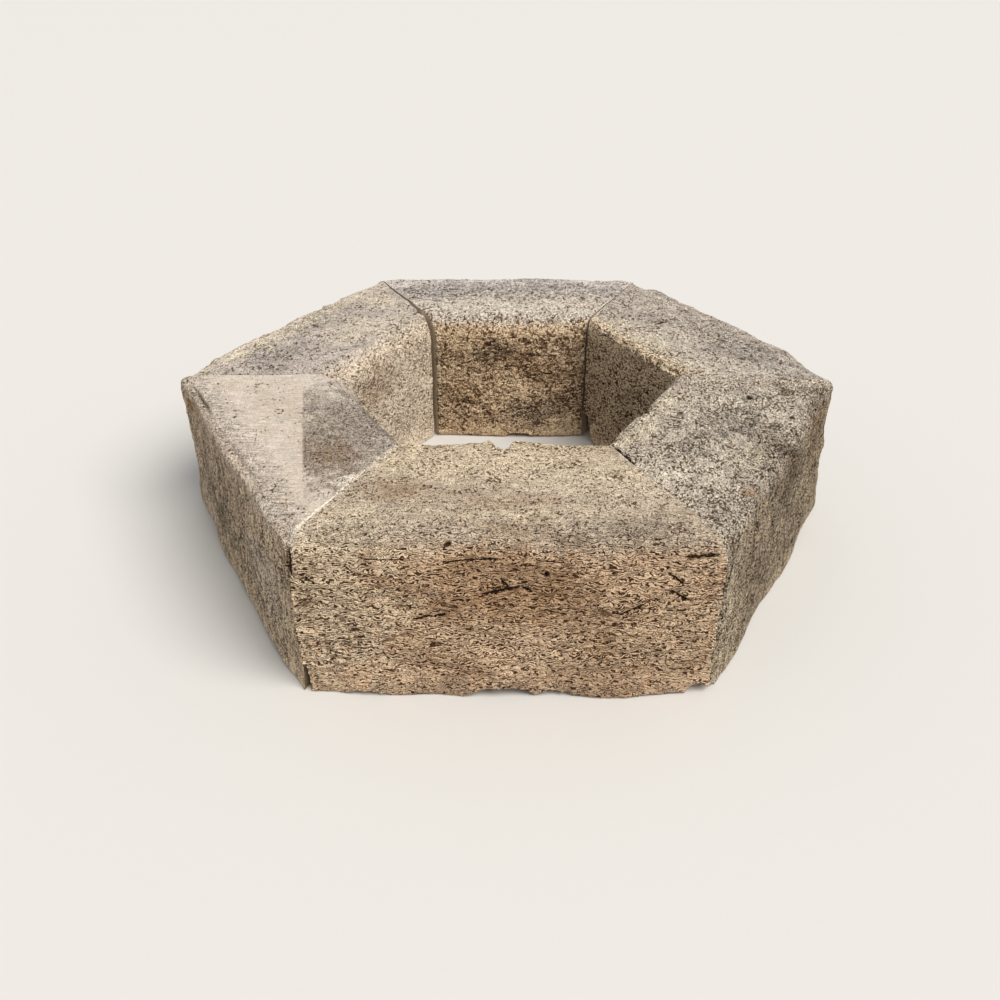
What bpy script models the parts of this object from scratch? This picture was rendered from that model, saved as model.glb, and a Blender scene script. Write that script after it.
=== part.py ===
"""Hexagonal limestone surround: six mitred blocks that stand in a closed ring.

Run with blender --background --python part.py. Units are metres, +Z is up, the origin is the
middle of the ring on the ground, and the front block faces -Y. Each block was sawn from an old
weathered stone: its two mitred ends are flat and sharp, its long arrises are worn round, its
faces swell a little, and pieces have broken off its edges.
"""

import math

import bmesh
import bpy
import numpy as np
from mathutils import Matrix, Vector

# Driving dimensions of the ring
RING_SIDE = 0.850  # side of the outer hexagon, and so the distance of its corners from the middle
HOLE_SIDE = 0.446  # side of the hexagonal hole
RING_HEIGHT = 0.389

# How far each joint's ends lie from the true hexagon, and how wide it gapes there
JOINTS = {
    # name: (bearing in degrees, outer end (x, y), inner end (x, y), gap outside, gap inside)
    "right": (0, (-0.005, -0.006), (0.000, 0.020), 0.003, 0.003),
    "back_right": (60, (-0.006, 0.010), (0.008, 0.003), 0.003, 0.005),
    "back_left": (120, (0.006, 0.010), (0.001, 0.000), 0.003, 0.016),
    "left": (180, (0.005, -0.008), (-0.002, 0.018), 0.003, 0.003),
    "front_left": (240, (-0.003, -0.002), (-0.021, 0.034), 0.003, 0.003),
    "front_right": (300, (0.006, 0.002), (0.008, 0.038), 0.003, 0.004),
}

# Each block runs anticlockwise from one joint to the next. Its arris radii are those of the
# outer bottom, outer top, inner top and inner bottom edge. A bow says how far a face stands out
# past its corners, and at which share of the length it stands out most.
BLOCKS = {
    # name: (first joint, last joint, height added, arris radii, outer bow, inner bow, seed)
    "right_back_block": (
        "right", "back_right", 0.002, (0.012, 0.014, 0.020, 0.014), (0.023, 0.32), (0.000, 0.50), 21,
    ),
    "back_block": (
        "back_right", "back_left", 0.004, (0.012, 0.014, 0.058, 0.012), (0.007, 0.40), (0.000, 0.50), 22,
    ),
    "left_back_block": (
        "back_left", "left", 0.002, (0.012, 0.014, 0.062, 0.014), (0.024, 0.76), (0.000, 0.50), 23,
    ),
    "left_front_block": (
        "left", "front_left", 0.002, (0.010, 0.020, 0.024, 0.014), (0.012, 0.60), (0.003, 0.50), 24,
    ),
    "front_block": (
        "front_left", "front_right", 0.002, (0.008, 0.050, 0.008, 0.012), (0.016, 0.74), (0.009, 0.45), 25,
    ),
    "right_front_block": (
        "front_right", "right", 0.001, (0.010, 0.040, 0.018, 0.014), (0.010, 0.45), (0.009, 0.20), 26,
    ),
}

# Faceting of one block
STATIONS = 20  # cross-sections from end to end
ARC_SEGMENTS = (1, 4, 4, 1)  # facets on each arris, in the order of the arris radii
FACE_CELLS = (4, 4, 4, 3)  # strips on the outer face, top, inner face and underside

# Slow swell of the worn faces, and how deep wear has cut into the arrises
SWELL_OUTER = 0.0060
SWELL_INNER = 0.0060
SWELL_TOP = 0.0030
SWELL_WAVELENGTHS = (0.42, 0.24, 0.15)
WAVES_PER_LENGTH = 3
ARRIS_WEAR = 0.0070
ARRIS_WEAR_SEED = 60  # added to the block's own seed

# Pieces broken off and pits: rough hollows of ellipsoid shape, placed by their share of the
# block's length, their share of the wall from the hole outwards, and their height in metres
CHIP_ROUGHNESS = 0.16  # how far a hollow's corners lie off the ellipsoid, as a share of its radii
CHIPS = [
    # block, along, across, height, radii (along, across, up)
    ("front_block", 0.505, 1.03, -0.012, (0.085, 0.045, 0.036)),
    ("front_block", 0.615, 1.03, -0.006, (0.034, 0.030, 0.020)),
    ("front_block", 0.150, 1.03, -0.008, (0.060, 0.024, 0.020)),
    ("front_block", 0.985, 1.02, 0.000, (0.042, 0.034, 0.026)),
    ("front_block", 0.985, 1.00, 0.360, (0.020, 0.024, 0.026)),
    ("front_block", 0.363, 1.00, 0.376, (0.012, 0.016, 0.010)),
    ("front_block", 0.589, 1.03, 0.317, (0.012, 0.016, 0.010)),
    ("front_block", 0.490, -0.02, 0.391, (0.020, 0.034, 0.030)),
    ("front_block", 0.745, -0.02, 0.395, (0.012, 0.018, 0.018)),
    ("front_block", 0.330, -0.03, 0.398, (0.060, 0.016, 0.012)),
    ("front_block", 0.000, 1.01, 0.020, (0.022, 0.030, 0.060)),
    ("left_front_block", 1.010, 1.05, 0.340, (0.032, 0.040, 0.300)),
    ("left_front_block", 0.000, 1.02, 0.392, (0.030, 0.030, 0.024)),
    ("left_front_block", 0.560, 1.03, 0.400, (0.100, 0.026, 0.020)),
    ("left_front_block", 0.130, 1.03, -0.008, (0.110, 0.026, 0.022)),
    ("left_front_block", 0.810, 1.04, -0.006, (0.070, 0.024, 0.022)),
    ("left_back_block", 0.270, 1.06, 0.402, (0.060, 0.034, 0.026)),
    ("left_back_block", 0.350, 1.05, 0.398, (0.030, 0.020, 0.020)),
    ("left_back_block", 0.560, 1.06, 0.402, (0.060, 0.026, 0.022)),
    ("left_back_block", 0.930, 1.04, 0.398, (0.070, 0.044, 0.028)),
    ("left_back_block", 0.400, 1.05, -0.006, (0.090, 0.030, 0.024)),
    ("left_back_block", 0.000, 0.20, 0.400, (0.014, 0.090, 0.026)),
    ("back_block", 0.000, 1.02, 0.402, (0.044, 0.044, 0.032)),
    ("back_block", 0.420, -0.02, -0.006, (0.070, 0.022, 0.020)),
    ("back_block", 0.630, 1.04, 0.404, (0.110, 0.024, 0.018)),
    ("back_block", 0.250, 1.04, 0.000, (0.060, 0.030, 0.034)),
    ("right_back_block", 0.965, 1.02, 0.402, (0.080, 0.056, 0.036)),
    ("right_back_block", 0.620, 1.05, 0.398, (0.055, 0.024, 0.020)),
    ("right_back_block", 0.110, 1.05, 0.398, (0.050, 0.028, 0.022)),
    ("right_back_block", 0.657, 0.54, 0.392, (0.010, 0.016, 0.014)),
    ("right_back_block", 1.000, -0.02, 0.020, (0.036, 0.036, 0.090)),
    ("right_back_block", 0.480, 1.05, -0.004, (0.070, 0.030, 0.030)),
    ("right_front_block", 0.030, 1.04, 0.210, (0.018, 0.022, 0.120)),
    ("right_front_block", 0.910, 1.06, 0.130, (0.060, 0.026, 0.045)),
    ("right_front_block", 0.440, -0.04, 0.394, (0.046, 0.036, 0.030)),
    ("right_front_block", 0.780, -0.03, 0.400, (0.040, 0.022, 0.024)),
    ("right_front_block", 0.800, 1.05, -0.006, (0.070, 0.034, 0.026)),
    ("right_front_block", 0.793, 0.56, 0.394, (0.012, 0.009, 0.016)),
    ("right_front_block", 0.545, 0.23, 0.394, (0.010, 0.008, 0.015)),
    ("right_front_block", 0.700, 0.90, 0.394, (0.012, 0.010, 0.016)),
]

LIMESTONES = {
    # block: colour of the stone (linear), roughness
    "right_back_block": ((0.42, 0.38, 0.32, 1.0), 0.92),
    "back_block": ((0.40, 0.34, 0.26, 1.0), 0.93),
    "left_back_block": ((0.46, 0.41, 0.34, 1.0), 0.92),
    "left_front_block": ((0.52, 0.46, 0.38, 1.0), 0.88),
    "front_block": ((0.38, 0.30, 0.21, 1.0), 0.93),
    "right_front_block": ((0.44, 0.40, 0.33, 1.0), 0.92),
}


def clear_scene():
    """Removes every object of the startup scene."""
    for obj in list(bpy.data.objects):
        bpy.data.objects.remove(obj)


def joint_line(name):
    """A joint's outer and inner end in plan, and its gap at each."""
    bearing, outer_shift, inner_shift, gap_out, gap_in = JOINTS[name]
    ray = np.array([math.cos(math.radians(bearing)), math.sin(math.radians(bearing))])
    return RING_SIDE * ray + outer_shift, HOLE_SIDE * ray + inner_shift, gap_out, gap_in


def block_ends(name):
    """The plan of a block's two mitred ends, each as (inner corner, outer corner), half a
    joint's gap in from the joint's own line."""
    first, last = BLOCKS[name][:2]
    ends = []
    for joint, turn in ((first, 1.0), (last, -1.0)):
        outer, inner, gap_out, gap_in = joint_line(joint)
        ray = (outer - inner) / np.linalg.norm(outer - inner)
        into_block = turn * np.array([-ray[1], ray[0]])
        ends.append((inner + into_block * gap_in / 2, outer + into_block * gap_out / 2))
    return ends


def wall_width(ends):
    """Thickness of the wall: the mean distance between the inner and the outer corners, taken
    square to the hole's face."""
    (inner_a, outer_a), (inner_b, outer_b) = ends
    run = (inner_b - inner_a) / np.linalg.norm(inner_b - inner_a)
    outward = np.array([run[1], -run[0]])
    return float((outer_a - inner_a + outer_b - inner_b) @ outward / 2)


def section(width, height, radii):
    """Outline of a block's cross-section, anticlockwise from its outer bottom arris, as arrays
    of (across, up) and of the outward normals there: four arcs joined by straight faces."""
    corners = ((1, 0, -90), (1, 1, 0), (0, 1, 90), (0, 0, 180))
    points, normals = [], []
    for k, (side, level, start) in enumerate(corners):
        radius = radii[k]
        centre = np.array([
            width - radius if side else radius,
            height - radius if level else radius,
        ])
        angles = np.radians(start + 90 * np.linspace(0, 1, ARC_SEGMENTS[k] + 1))
        arc_normals = np.stack([np.cos(angles), np.sin(angles)], axis=1)
        points.append(centre + radius * arc_normals)
        normals.append(arc_normals)
    outline, outline_normals = [], []
    for k in range(4):
        start, end = points[k][-1], points[(k + 1) % 4][0]
        shares = np.linspace(0, 1, FACE_CELLS[k] + 1)[1:-1, None]
        outline += [points[k], start + (end - start) * shares]
        outline_normals += [normals[k], np.repeat(normals[k][-1:], len(shares), axis=0)]
    return np.concatenate(outline), np.concatenate(outline_normals)


def bow(along, amount, peak):
    """How far a face stands out at these shares of the length: a quarter sine up to its peak
    and another down from it, with nothing at the corners."""
    share = np.where(along < peak, along / peak, (1 - along) / (1 - peak))
    return amount * np.sin(math.pi / 2 * share)


def swell(points, seed):
    """Slow swell of worn stone at these points, mostly from -1 to 1: a sum of sine waves of
    three lengths, each in three directions drawn from the seed."""
    rng = np.random.default_rng(seed)
    total = np.zeros(points.shape[:-1])
    for wavelength in SWELL_WAVELENGTHS:
        for _ in range(WAVES_PER_LENGTH):
            direction = rng.normal(size=3)
            direction /= np.linalg.norm(direction)
            phase = rng.uniform(0, 2 * math.pi)
            height = wavelength / sum(SWELL_WAVELENGTHS)
            total += height * np.sin(2 * math.pi / wavelength * (points @ direction) + phase)
    return total


def worn_out(name, points, along, normals):
    """How far wear has moved each point of the block along its outline normal: bows and slow
    swell on its faces, and a loss along its arrises. The underside stays flat."""
    outer_bow, inner_bow, seed = BLOCKS[name][4:]
    facing_out = np.clip(normals[:, 0], 0, None) ** 2
    facing_in = np.clip(-normals[:, 0], 0, None) ** 2
    facing_up = np.clip(normals[:, 1], 0, None) ** 2
    moved = facing_out * bow(along, *outer_bow) + facing_in * bow(along, *inner_bow)
    height = SWELL_OUTER * facing_out + SWELL_INNER * facing_in + SWELL_TOP * facing_up
    moved = moved + height * swell(points, seed)
    arris = 4 * facing_up * (facing_out + facing_in)
    loss = np.clip(0.5 + swell(points, seed + ARRIS_WEAR_SEED), 0, None)
    return moved - ARRIS_WEAR * arris * loss


def place(ends, width, along, across, up):
    """World position of a point of the block: along is its share of the length, across its
    distance from the hole's face and up its height, both in metres."""
    (inner_a, outer_a), (inner_b, outer_b) = ends
    share = np.asarray(across)[..., None] / width
    along = np.asarray(along)[..., None]
    plan = (1 - along) * (inner_a + (outer_a - inner_a) * share)
    plan = plan + along * (inner_b + (outer_b - inner_b) * share)
    return np.concatenate([plan, np.asarray(up)[..., None]], axis=-1)


def block_mesh(name):
    """The block's section, swollen by wear, carried from one mitred end to the other."""
    height_added, radii = BLOCKS[name][2:4]
    ends = block_ends(name)
    width = wall_width(ends)
    outline, normals = section(width, RING_HEIGHT + height_added, radii)
    along = np.repeat(np.linspace(0, 1, STATIONS)[:, None], len(outline), axis=1)
    across = np.repeat(outline[None, :, 0], STATIONS, axis=0)
    up = np.repeat(outline[None, :, 1], STATIONS, axis=0)
    moved = worn_out(name, place(ends, width, along, across, up), along, normals)
    across = across + moved * normals[:, 0]
    up = np.maximum(up + moved * normals[:, 1], 0.0)
    rings = place(ends, width, along, across, up)

    bm = bmesh.new()
    loops = [[bm.verts.new(point) for point in ring] for ring in rings]
    count = len(outline)
    for first, second in zip(loops, loops[1:]):
        for i in range(count):
            j = (i + 1) % count
            bm.faces.new((first[i], first[j], second[j], second[i]))
    bm.faces.new(reversed(loops[0]))
    bm.faces.new(loops[-1])
    bmesh.ops.recalc_face_normals(bm, faces=bm.faces)
    bmesh.ops.triangulate(bm, faces=bm.faces)
    mesh = bpy.data.meshes.new(name)
    bm.to_mesh(mesh)
    bm.free()
    return mesh


def limestone(name):
    """Plain matt limestone in the block's own tone."""
    colour, roughness = LIMESTONES[name]
    material = bpy.data.materials.new(name + "_limestone")
    material.use_nodes = True
    shader = material.node_tree.nodes["Principled BSDF"]
    shader.inputs["Base Color"].default_value = colour
    shader.inputs["Roughness"].default_value = roughness
    shader.inputs["Metallic"].default_value = 0.0
    material.diffuse_color = colour
    return material


def add_block(name):
    """One block as a named object with its own material."""
    mesh = block_mesh(name)
    mesh.materials.append(limestone(name))
    block = bpy.data.objects.new(name, mesh)
    bpy.context.scene.collection.objects.link(block)
    return block


def chip_cutter(number, name, along, across, height, radii):
    """A rough faceted ellipsoid turned to lie along its block, which a Boolean takes out."""
    label = f"chip_cutter_{number:02d}"
    ends = block_ends(name)
    width = wall_width(ends)
    centre = place(ends, width, along, across * width, height)
    run = place(ends, width, 1.0, width, 0.0) - place(ends, width, 0.0, width, 0.0)
    run = Vector(run).normalized()
    outward = Vector((run.y, -run.x, 0.0))
    turn = Matrix((run, outward, Vector((0.0, 0.0, 1.0)))).transposed().to_4x4()
    bm = bmesh.new()
    bmesh.ops.create_icosphere(bm, subdivisions=2, radius=1.0)
    rng = np.random.default_rng(number)
    for vertex in bm.verts:
        vertex.co *= 1 + CHIP_ROUGHNESS * rng.uniform(-1, 1)
    bmesh.ops.transform(
        bm,
        matrix=Matrix.Translation(centre) @ turn @ Matrix.Diagonal((*radii, 1.0)),
        verts=bm.verts,
    )
    bmesh.ops.recalc_face_normals(bm, faces=bm.faces)
    mesh = bpy.data.meshes.new(label)
    bm.to_mesh(mesh)
    bm.free()
    cutter = bpy.data.objects.new(label, mesh)
    bpy.context.scene.collection.objects.link(cutter)
    cutter.hide_render = True
    cutter.display_type = "WIRE"
    return cutter


def break_edges(blocks):
    """Takes every chip out of its block."""
    for number, (name, *shape) in enumerate(CHIPS):
        cutter = chip_cutter(number, name, *shape)
        cut = blocks[name].modifiers.new(cutter.name, "BOOLEAN")
        cut.operation = "DIFFERENCE"
        cut.solver = "EXACT"
        cut.object = cutter


def main():
    clear_scene()
    blocks = {name: add_block(name) for name in BLOCKS}
    break_edges(blocks)


main()
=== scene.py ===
# A low hexagonal surround of six weathered, mitred limestone blocks, dry-jointed in a closed ring.
# Metres, +Z up; the front block faces -Y. Every block is a rounded section carried along its run
# between two mitre planes, then bowed, worn, chipped, pitted and creased by functions of place.
import math
from functools import partial

import bpy
import numpy as np
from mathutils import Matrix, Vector


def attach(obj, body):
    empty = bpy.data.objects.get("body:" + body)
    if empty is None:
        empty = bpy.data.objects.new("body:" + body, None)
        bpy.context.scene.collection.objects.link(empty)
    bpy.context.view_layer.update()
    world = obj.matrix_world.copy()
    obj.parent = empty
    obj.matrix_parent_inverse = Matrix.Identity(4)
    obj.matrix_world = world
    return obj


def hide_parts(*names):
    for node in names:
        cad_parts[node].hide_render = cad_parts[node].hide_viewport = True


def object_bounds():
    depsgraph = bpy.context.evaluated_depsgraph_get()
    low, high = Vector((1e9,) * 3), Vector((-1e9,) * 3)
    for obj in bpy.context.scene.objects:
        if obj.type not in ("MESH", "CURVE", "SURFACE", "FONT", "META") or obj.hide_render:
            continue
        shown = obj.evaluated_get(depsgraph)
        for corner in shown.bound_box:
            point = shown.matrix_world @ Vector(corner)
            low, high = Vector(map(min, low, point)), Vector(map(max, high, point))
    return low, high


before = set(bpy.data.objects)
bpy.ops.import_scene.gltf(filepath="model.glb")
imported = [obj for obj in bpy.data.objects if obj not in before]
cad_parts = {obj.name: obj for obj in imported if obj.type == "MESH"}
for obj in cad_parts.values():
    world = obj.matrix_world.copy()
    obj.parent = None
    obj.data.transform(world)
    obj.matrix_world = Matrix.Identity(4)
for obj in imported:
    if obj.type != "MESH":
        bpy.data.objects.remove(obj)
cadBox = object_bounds()

# The ring itself. A joint is given by its bearing, how far its outer and inner ends lie off the
# true hexagon, and its gap at each end.
ring = {
    "side": 0.850,
    "holeSide": 0.446,
    "height": 0.389,
    "joints": {
        "right": (0, (-0.005, -0.006), (0.000, 0.020), 0.001, 0.001),
        "backRight": (60, (-0.006, 0.010), (0.008, 0.003), 0.001, 0.006),
        "backLeft": (120, (0.006, 0.010), (0.001, 0.000), 0.003, 0.015),
        "left": (180, (0.005, -0.008), (-0.002, 0.018), 0.001, 0.001),
        "frontLeft": (240, (-0.003, -0.002), (-0.021, 0.034), 0.001, 0.001),
        "frontRight": (300, (0.006, 0.002), (0.008, 0.038), 0.001, 0.001),
    },
}

# How worn stone departs from a sawn block, the same for all six
wear = {
    "swell": (0.0060, 0.0030, 0.0060),  # outer face, top, the hole's face
    "swellWavelengths": (0.42, 0.24, 0.15),
    "wavesPerLength": 3,
    "arrisLoss": 0.0070,
    "arrisSeed": 60,
    "chipRoughness": 0.30,
    "chipKnobs": 1.7,  # knobs along the radius of a chip
    "holeSize": 0.019,  # a chip smaller than this gets painted shade, as a dark hole
    "flushReach": 0.13,  # share of a block's length over which it comes flush with its neighbour
    "coreInset": 0.10,  # how deep the core lies from which all relief points outwards
    "undersideCell": 0.030,
    "edgeCells": (0.0, 0.0018, 0.0042),  # fine stations at a mitre, before the even ones
    "evenFrom": 0.0072,
    "edgeAllowance": 0.015,  # length that the fine stations take from the even ones
    "capShares": (0.985, 0.94, 0.80, 0.50),
    "sharpAngle": 55,
    "sawnRough": 0.4,  # how rough and how porous the sawn ends look
    "sawnPores": 0.15,
}

# Sizes of the fine relief in metres, the same for all six
relief = {
    "bedding": 1.6,  # how many times longer the relief is along the bed than across it
    "lump": 0.050,
    "crumb": 0.0125,
    "ledge": 0.014,
    "ledgeBend": 0.030,
    "ledgePatch": 0.034,
    "ledgeWander": 2.0,  # rows by which the ledges wander
    "ledgeRise": (0.80, 0.20),  # shares of its row over which a ledge rises, and steps back
    "ledgeUnder": ((0.74, 0.90), (1.0, 0.93)),  # where in its row the painted shade under a ledge begins and ends
    "ledgeLevels": (-0.25, 0.40),  # levels of the patch noise between which the ledges show
    "crease": 0.0105,
    "fineCrease": 0.005,
    "fineFold": 0.45,  # height of the fine fold beside the coarse one
    "creaseLevels": (0.24, 0.02),  # levels of the fold between which a crease sinks
    "creasePatch": 0.026,
    "creasePatchLevels": (0.0, 0.35),
    "pitPatch": 0.07,
    "pitPatchLevels": (-0.40, 0.35),
    "pitWarp": (0.0015, 0.006),  # height and size of the noise that bends the pits
    "pitKinds": (  # cell, share of the cells with a pit, least and greatest radius in cells, depth
        (0.011, 0.30, 0.16, 0.34, 0.0030),
        (0.034, 0.22, 0.08, 0.20, 0.0060),
    ),
    "darkCrease": 0.0036,  # a crease, a ledge's foot or a pit of these depths gets full painted shade
    "darkPit": 0.0046,
    "raisedLightShares": (1.6, 0.8),  # of crumbs and ledges, in how much painted light the raised stone and painted shade the sunk stone gets
    "topFrom": 0.38,  # a groove above this height lies on the top
    "grooveReach": (0.06, 0.04),  # distance from a groove's plane at which it fades out
    "grooveFar": 9.0,  # half widths from a groove at which it counts no more
    "mitreUneven": 0.016,
    "mitreSpall": 0.045,
    "mitreWear": 0.0035,  # distance over which the wear of a mitre arris falls to 1 / e
    "spallWear": 0.010,
}

# Where the patterns of the stone lie: from which place, its scale, whether it is turned to the
# block's run, and its shift for each step of the block's seed
patternPlaces = {
    "turned": ("piece", (1, 1, 1), True, 0.37),
    "bedded": ("turned", (1 / relief["bedding"], 1, 1.15), False, 0.0),
    "grained": ("piece", (1, 0.77, 1.3), False, 0.21),
    "flowing": ("turned", (0.50, 1, 1), False, 0.0),
    "swelling": ("turned", (0.6, 1, 1), False, 0.0),
    "level": ("piece", (0.10, 1, 1), False, 0.0),
    "hanging": ("turned", (1, 1, 0.13), False, 0.0),
}

# The noises of the stone: place, unit (metres, or a size of the block), size in that unit, detail,
# roughness and distortion, and for some the levels between which it shows and how much it shows
patterns = {
    "cloud": ("bedded", "metre", 0.16, 5, 0.60, 0.0, 0.34, 0.66),
    "mottle": ("bedded", "metre", 0.035, 4, 0.62, 0.3, 0.34, 0.66),
    "film": ("turned", "metre", 0.055, 6, 0.70, 0.4, 0.46, 0.64),
    "rust": ("turned", "metre", 0.018, 4, 0.70, 0.0, 0.25, 0.60),
    "grime": ("bedded", "metre", 0.014, 5, 0.75, 0.0, 0.20, 0.60),
    "lichen": ("grained", "metre", 0.010, 4, 0.80, 0.0, 0.44, 0.56),
    "fresh": ("turned", "metre", 0.009, 3, 0.60, 0.0, 0.22, 0.44),
    "grain": ("grained", "grain", 1.0, 2, 0.85, 0.0, 0.30, 0.58),
    "crumb": ("grained", "grain", 2.3, 3, 0.75, 0.3, 0.32, 0.56),
    "flow": ("flowing", "plate", 2.4, 2, 0.55, 0.0),
    "crack": ("swelling", "plate", 1.3, 3, 0.65, 0.0, 0.28, 0.58, 0.0, 0.55),
    "levelStreak": ("level", "metre", 0.004, 3, 0.70, 0.0),
    "hangingStreak": ("hanging", "metre", 0.010, 4, 0.75, 0.0),
    "poreCluster": ("turned", "metre", 0.045, 3, 0.65, 0.0),
    "pore": ("grained", "poreSize", 1.0, 2, 0.55, 0.0),
    "grooveWobble": ("turned", "metre", 0.011, 3, 0.70, 0.0),
    "grooveRag": ("turned", "metre", 0.006, 2, 0.60, 0.0),
}

# How strongly they work, the same for all six
weights = {
    "cloud": 0.45, "mottle": 0.35, "leastShade": 0.10,
    "grimeAndShadeRough": 2.9,  # roughness that full grime and painted shade add
    "plateLean": 0.8, "plateBend": 7.0,  # how the rows of plates lean inwards and wander
    "crackGrimeAndShade": 0.5, "crackEdge": 0.13, "crackFoot": 0.08,
    "middle": 0.72,  # level of a grain that keeps the stone's own colour
    "streak": 3.0,
    "poreDrift": 0.46, "poreGain": 0.11, "poreEdge": (0.285, 0.225),
    "hollowEdge": (0.15, 0.90),
    "grooveBend": 6.0, "grooveFall": 0.60, "grooveRag": 0.8, "grooveEdge": (0.05, 0.60),
    # how deep the painted shade of pores, hollows and grooves goes, and the least and greatest tone
    "poreDark": 0.90, "hollowDark": 0.93, "grooveDark": 0.985,
    "darkest": 0.012, "brightest": 1.60,
    "redPower": -0.20, "bluePower": 0.22,
    "heights": {"grain": 4.0, "crumb": 7.0, "plate": -3.0, "dark": -2.6},  # millimetres
}


def hexToLinear(code):
    # sRGB to linear: v / 12.92 up to 0.04045, and ((v + 0.055) / 1.055) ** 2.4 above it
    values = [int(code[i:i + 2], 16) / 255 for i in (1, 3, 5)]
    return tuple(v / 12.92 if v <= 0.04045 else ((v + 0.055) / 1.055) ** 2.4 for v in values) + (1.0,)


def smoothStep(low, high, value):
    # 3t^2 - 2t^3 of the share t that the value has gone from low to high
    t = np.clip((value - low) / (high - low), 0, 1)
    return t * t * (3 - 2 * t)


def cellNumber(cells, table):
    # a number from the table for each whole cell (x, y, z), looked up axis by axis
    size = len(table)
    number = table[cells[..., 0] % size]
    number = table[(number + cells[..., 1]) % size]
    return table[(number + cells[..., 2]) % size]


def softNoise(points, seed):
    # smooth noise from -1 to 1: random heights at the corners of unit cells, blended by
    # 6t^5 - 15t^4 + 10t^3 along each axis
    rng = np.random.default_rng(seed)
    table = rng.permutation(1024)
    heights = rng.uniform(-1, 1, 1024)
    cell = np.floor(points).astype(np.int64)
    part = points - cell
    fade = part**3 * (part * (part * 6 - 15) + 10)
    total = np.zeros(points.shape[:-1])
    for corner in np.ndindex(2, 2, 2):
        weight = np.prod(np.where(np.array(corner) == 1, fade, 1 - fade), axis=-1)
        total += weight * heights[cellNumber(cell + corner, table)]
    return total


def fractalNoise(points, seed, octaves, gain=0.5):
    # sum of octaves of soft noise, each twice as fine, turned a little and gain times as high
    turn = np.array([[0.80, 0.60, 0.00], [-0.48, 0.64, 0.60], [0.36, -0.48, 0.80]])
    total, height, reach = np.zeros(points.shape[:-1]), 1.0, 0.0
    for octave in range(octaves):
        total += height * softNoise(points, seed + 7 * octave)
        reach += height
        height *= gain
        points = 2.03 * points @ turn
    return total / reach


def roundPits(points, seed, share, smallest, largest):
    # depth of round hollows in units of a cell: a share of the unit cells each hold one sphere,
    # and the depth is sqrt(r^2 - d^2) where the surface lies inside it
    rng = np.random.default_rng(seed)
    table = rng.permutation(1024)
    drawn = rng.random((1024, 5))
    base = np.floor(points).astype(np.int64)
    depth = np.zeros(points.shape[:-1])
    for step in np.ndindex(3, 3, 3):
        cell = base + np.array(step) - 1
        values = drawn[cellNumber(cell, table)]
        radius = smallest + (largest - smallest) * values[..., 3] ** 2
        inside = radius**2 - ((points - cell - values[..., :3]) ** 2).sum(axis=-1)
        found = np.sqrt(np.clip(inside, 0, None)) * (values[..., 4] < share)
        depth = np.maximum(depth, found)
    return depth


def jointEnds(name):
    # plan of a joint's outer and inner end
    bearing, outerShift, innerShift = ring["joints"][name][:3]
    ray = np.array([math.cos(math.radians(bearing)), math.sin(math.radians(bearing))])
    return ring["side"] * ray + outerShift, ring["holeSide"] * ray + innerShift


def blockEnds(block):
    # the two mitred ends in plan, as (inner corner, outer corner), half a gap in from the joint
    found = []
    for joint, turn in zip(block["joints"], (1.0, -1.0)):
        outer, inner = jointEnds(joint)
        gapOut, gapIn = ring["joints"][joint][3:]
        ray = (outer - inner) / np.linalg.norm(outer - inner)
        inward = turn * np.array([-ray[1], ray[0]])
        found.append((inner + inward * gapIn / 2, outer + inward * gapOut / 2))
    return found


def blockAxes(ends):
    # unit vectors along the run of the hole's face and square to it outwards, and the wall width
    (innerA, outerA), (innerB, outerB) = ends
    run = (innerB - innerA) / np.linalg.norm(innerB - innerA)
    outward = np.array([run[1], -run[0]])
    width = float((outerA - innerA + outerB - innerB) @ outward / 2)
    return run, outward, width


def outlineCounts(width, height, radii, cells):
    # how many cells each quarter arc and each straight face of the section gets, from the size
    # of a cell on the outer face, the top and the hole's face
    outer, top, inner = cells
    arcs = [max(3, round(radius * math.pi / 2 / size)) for radius, size in
            zip(radii, (outer, min(outer, top), min(top, inner), inner))]
    spans = (height - radii[0] - radii[1], width - radii[1] - radii[2],
             height - radii[2] - radii[3], width - radii[3] - radii[0])
    sizes = (outer, top, inner, wear["undersideCell"])
    return arcs, [max(2, round(span / size)) for span, size in zip(spans, sizes)]


def section(width, height, radii, counts):
    # outline of the cross-section, anticlockwise from the outer bottom arris: four quarter arcs
    # joined by straight faces, with the outward direction at each point
    corners = ((1, 0, -90), (1, 1, 0), (0, 1, 90), (0, 0, 180))
    arcs, arcNormals = [], []
    for radius, (side, level, start), count in zip(radii, corners, counts[0]):
        centre = np.array([width - radius if side else radius, height - radius if level else radius])
        angles = np.radians(start + 90 * np.linspace(0, 1, count + 1))
        arcNormals.append(np.stack([np.cos(angles), np.sin(angles)], axis=1))
        arcs.append(centre + radius * arcNormals[-1])
    outline, normals = [], []
    for k in range(4):
        start, end = arcs[k][-1], arcs[(k + 1) % 4][0]
        shares = np.linspace(0, 1, counts[1][k] + 1)[1:-1, None]
        outline += [arcs[k], start + (end - start) * shares]
        normals += [arcNormals[k], np.repeat(arcNormals[k][-1:], len(shares), axis=0)]
    return np.concatenate(outline), np.concatenate(normals)


def place(ends, width, along, across, up):
    # world place of (share of the length, metres from the hole's face, height): the two mitre
    # lines blended by the share
    (innerA, outerA), (innerB, outerB) = ends
    share = across[..., None] / width
    along = along[..., None]
    plan = (1 - along) * (innerA + (outerA - innerA) * share)
    plan = plan + along * (innerB + (outerB - innerB) * share)
    return np.concatenate([plan, up[..., None]], axis=-1)


def bow(along, amount, peak):
    # how far a face stands out: a quarter sine up to its peak and another down from it
    share = np.where(along < peak, along / peak, (1 - along) / (1 - peak))
    return amount * np.sin(math.pi / 2 * share)


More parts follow.
